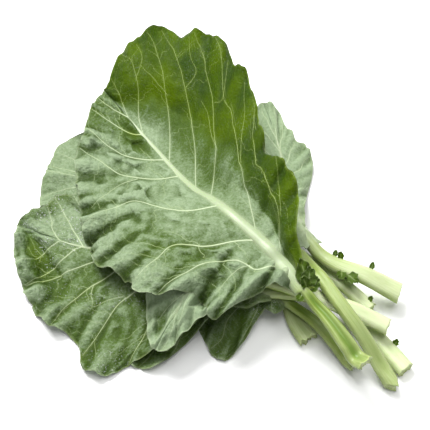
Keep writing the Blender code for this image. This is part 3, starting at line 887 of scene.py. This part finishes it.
def leaf_material(name, deep, bare, green, pale, vein, bare_vein, under, hollow, droplet_glint, glow, dull_glow,
                  through):
    """A blade: from bare and painted shade to waxy with painted sheen by its bloom, with painted shade in its
    hollows, a fine net of veins, droplets with a painted glint and light through it.
    """
    n = Nodes(name)
    patches = n.plus(n.field("pale"), n.spread(n.noise(60, 5, 0.6), 0.3, 0.7, -0.07, 0.07))
    grain = n.spread(n.noise(420, 6, 0.7), 0.3, 0.7, -0.2, 0.2)
    grain = n.times(grain, n.spread(n.field("pale"), 0.0, 0.4, 0.15, 1.0))
    bloom = n.plus(patches, grain, clamp=True)
    # darker for bare tissue and for painted shade, paler for the wax bloom and for painted sheen
    bare = n.mix(n.spread(n.noise(22, 4, 0.6), 0.36, 0.64), deep, bare)
    colour = n.mix(n.spread(bloom, 0.0, 0.5), bare, green)
    colour = n.mix(n.spread(bloom, 0.45, 1.0), colour, pale)
    # painted shade: the hollow colour darkens the blade in its hollows
    colour = n.tint("hollow_shade", 0.66, colour, hollow)
    colour = n.tint("under", 0.7, colour, under)
    cells = n.node("TexVoronoi", feature="DISTANCE_TO_EDGE")
    cells.inputs["Scale"].default_value = 230
    n.plug(n.node("TexCoord").outputs["Object"], cells.inputs["Vector"])
    net = n.spread(cells.outputs["Distance"], 0.0, 0.09, 1.0, 0.0)
    vein = n.mix(n.spread(n.field("pale"), 0.0, 0.6), bare_vein, vein)
    colour = n.mix(n.times(net, n.spread(bloom, 0.0, 1.0, 0.06, 0.17)), colour, vein)
    colour = n.tint("vein", 0.75, colour, vein)
    colour = n.tint("rim", 0.5, colour, vein)
    # droplets: whitish spots as a painted glint on the water, with lower roughness and a bump
    droplet_glints = n.times(n.spread(n.noise(620, 2, 0.5), 0.61, 0.66), n.field("dew"), clamp=True)
    colour = n.mix(n.times(droplet_glints, 0.7), colour, droplet_glint)
    n.give("Base Color", colour)
    rough = n.spread(n.noise(60, 4), 0.3, 0.7, 0.38, 0.52)
    n.give("Roughness", n.math("SUBTRACT", rough, n.times(droplet_glints, 0.25)))
    n.give("Specular IOR Level", 0.10)
    crinkle = n.times(n.noise(125, 6, 0.55), n.field("crinkle"))
    height = n.plus(n.times(n.noise(420, 5, 0.65), 0.10), crinkle)
    height = n.plus(height, n.times(net, -0.06))
    height = n.plus(height, n.times(droplet_glints, 0.1))
    normal = n.bump(height, 0.9, 0.0045)
    back = n.node("BsdfTranslucent")
    through_colour = n.mix(n.spread(bloom, 0.0, 0.6), glow, dull_glow)
    n.plug(n.tint("vein", 0.6, through_colour, vein), back.inputs["Color"])
    n.plug(normal, back.inputs["Normal"])
    blend = n.node("MixShader")
    blend.inputs[0].default_value = through
    n.plug(n.shader.outputs[0], blend.inputs[1])
    n.plug(back.outputs[0], blend.inputs[2])
    n.plug(blend.outputs[0], n.output.inputs["Surface"])
    return n.material


def vein_material(name, faint, bold, bare):
    """A vein: bolder where it is a main one, and yellower where the blade is bare and where it has painted
    shade.
    """
    n = Nodes(name)
    strength = n.plus(n.field("bold"), n.spread(n.noise(90, 4), 0.3, 0.7, -0.12, 0.12), clamp=True)
    waxy = n.spread(n.field("waxy"), 0.0, 0.6)
    n.give("Base Color", n.mix(waxy, bare, n.mix(strength, faint, bold)))
    n.give("Roughness", n.spread(n.noise(200, 3), 0.3, 0.7, 0.38, 0.52))
    n.give("Specular IOR Level", 0.3)
    n.bump(n.noise(700, 3), 0.3, 0.0003)
    return n.material


def stem_material(name, green, white, shade, shade_white, channel, pith, ridge):
    """A stem: streaked along, darker below, with a green channel, a paler midrib and a dull cut."""
    n = Nodes(name)
    combine = n.node("CombineXYZ")
    n.plug(n.times(n.field("along"), 16.0), combine.inputs[0])
    n.plug(n.times(n.field("around"), 7.0), combine.inputs[1])
    streaks = n.noise(1.6, 6, 0.65, combine.outputs[0])
    tone = n.plus(n.field("tone"), n.spread(streaks, 0.3, 0.7, -0.22, 0.22), clamp=True)
    upper = n.mix(tone, green, white)
    lower = n.mix(tone, shade, shade_white)
    around = n.plus(n.field("around"), n.spread(n.noise(70, 3), 0.3, 0.7, -0.3, 0.3))
    colour = n.mix(n.spread(around, -0.35, 0.75), lower, upper)
    colour = n.mix(n.times(n.field("groove"), 0.9, clamp=True), colour, channel)
    colour = n.tint("rib", 0.85, colour, ridge)
    colour = n.tint("cut", n.spread(n.noise(500, 4), 0.35, 0.65, 0.4, 1.0), colour, pith)
    n.give("Base Color", colour)
    n.give("Roughness", n.spread(n.noise(80, 3), 0.3, 0.7, 0.34, 0.5))
    n.give("Subsurface Weight", 0.2)
    n.give("Subsurface Radius", (0.6, 1.0, 0.3))
    n.give("Subsurface Scale", 0.003)
    n.bump(n.plus(streaks, n.times(n.noise(300, 4), 0.3)), 0.4, 0.0008)
    return n.material


def floor_material():
    n = Nodes("floor")
    tone = n.mix(n.noise(3, 2), (0.94, 0.94, 0.94, 1), (0.97, 0.97, 0.97, 1))
    n.give("Base Color", tone)
    n.give("Roughness", 0.9)
    return n.material


# ---- the studio ----
def studio(middle):
    """A white floor, a big lamp behind the bunch and a weaker one over it, and an even sky."""
    bpy.ops.mesh.primitive_plane_add(size=8, location=(0, 0, 0))
    floor = bpy.context.object
    floor.name = "floor"
    floor.data.materials.append(floor_material())

    def soft_box(name, spot, size, power):
        lamp = bpy.data.lights.new(name, "AREA")
        lamp.shape = "RECTANGLE"
        lamp.size, lamp.size_y = size
        lamp.energy = power
        thing = add(name, lamp)
        thing.location = spot
        thing.rotation_euler = (Vector(middle) - Vector(spot)).to_track_quat("-Z", "Y").to_euler()

    soft_box("back_light", spot=(-0.9, 1.5, 2.6), size=(1.4, 1.1), power=138)
    soft_box("top_light", spot=(0.2, 0.0, 2.8), size=(1.6, 1.6), power=46)
    world = bpy.data.worlds.new("studio")
    world.use_nodes = True
    sky = world.node_tree.nodes["Background"]
    sky.inputs["Color"].default_value = (1, 1, 1, 1)
    sky.inputs["Strength"].default_value = 0.30
    bpy.context.scene.world = world


def camera(aim):
    """The photo's view, fitted to its outline."""
    elevation = math.radians(60)
    distance = 0.914
    lens = bpy.data.cameras.new("camera")
    lens.lens = 85
    lens.sensor_width = 36
    thing = add("camera", lens)
    back, up = distance * math.cos(elevation), distance * math.sin(elevation)
    thing.location = (aim[0], aim[1] - back, aim[2] + up)
    thing.rotation_euler = (math.pi / 2 - elevation, 0, 0)
    bpy.context.scene.camera = thing


def build():
    """Every leaf from the top down, because a blade lies under those before it."""
    shift = frame_shift()
    bpy.context.scene.view_settings.view_transform = "Standard"
    blade = leaf_material(
        # the second colour on this line is bare tissue darkened as painted shade; pale, below, is the wax
        # bloom with painted sheen
        "leaf_tissue", deep=rgb(44, 66, 10), bare=rgb(78, 100, 0), green=rgb(82, 106, 46),
        pale=rgb(158, 178, 142), vein=rgb(186, 200, 162), bare_vein=rgb(142, 162, 74),
        # painted shade for the blade's hollows is set on this line
        # the last colour on this line is the droplets' painted glint
        under=rgb(142, 164, 122), hollow=(0.03, 0.055, 0.012, 1), droplet_glint=(0.84, 0.89, 0.84, 1),
        glow=rgb(152, 186, 0), dull_glow=rgb(124, 152, 70), through=0.27)
    stalk = stem_material(
        "stem_tissue", green=rgb(130, 150, 56), white=rgb(206, 216, 172), shade=rgb(80, 100, 24),
        shade_white=rgb(154, 176, 84), channel=rgb(92, 124, 34), pith=rgb(196, 206, 150),
        ridge=rgb(160, 174, 142))
    nerve = vein_material(
        "vein_tissue", faint=rgb(128, 150, 92), bold=rgb(184, 198, 162), bare=rgb(158, 176, 100))
    leaves = {name: Leaf(name, shift) for name in LEAVES}
    corners, faces = np.zeros((0, 3)), []
    for place, name in enumerate(TOP_DOWN):
        leaf = leaves[name]
        above = tree_of(corners, faces) if len(faces) else None
        lower = [other + "_stem" for other in TOP_DOWN[place + 1:]]
        stems = node_tree(*lower) if lower else None
        new_corners, new_faces = blade_piece(leaf, above, stems, blade)
        faces = faces + [tuple(k + len(corners) for k in face) for face in new_faces]
        corners = np.vstack([corners, new_corners])
        stem_piece(leaf, stalk)
        vein_piece(leaf, nerve)
    shoots(leaves, blade)
    studio((0, 0, 0.03))
    camera((shift[0], shift[1], 0.025))


build()
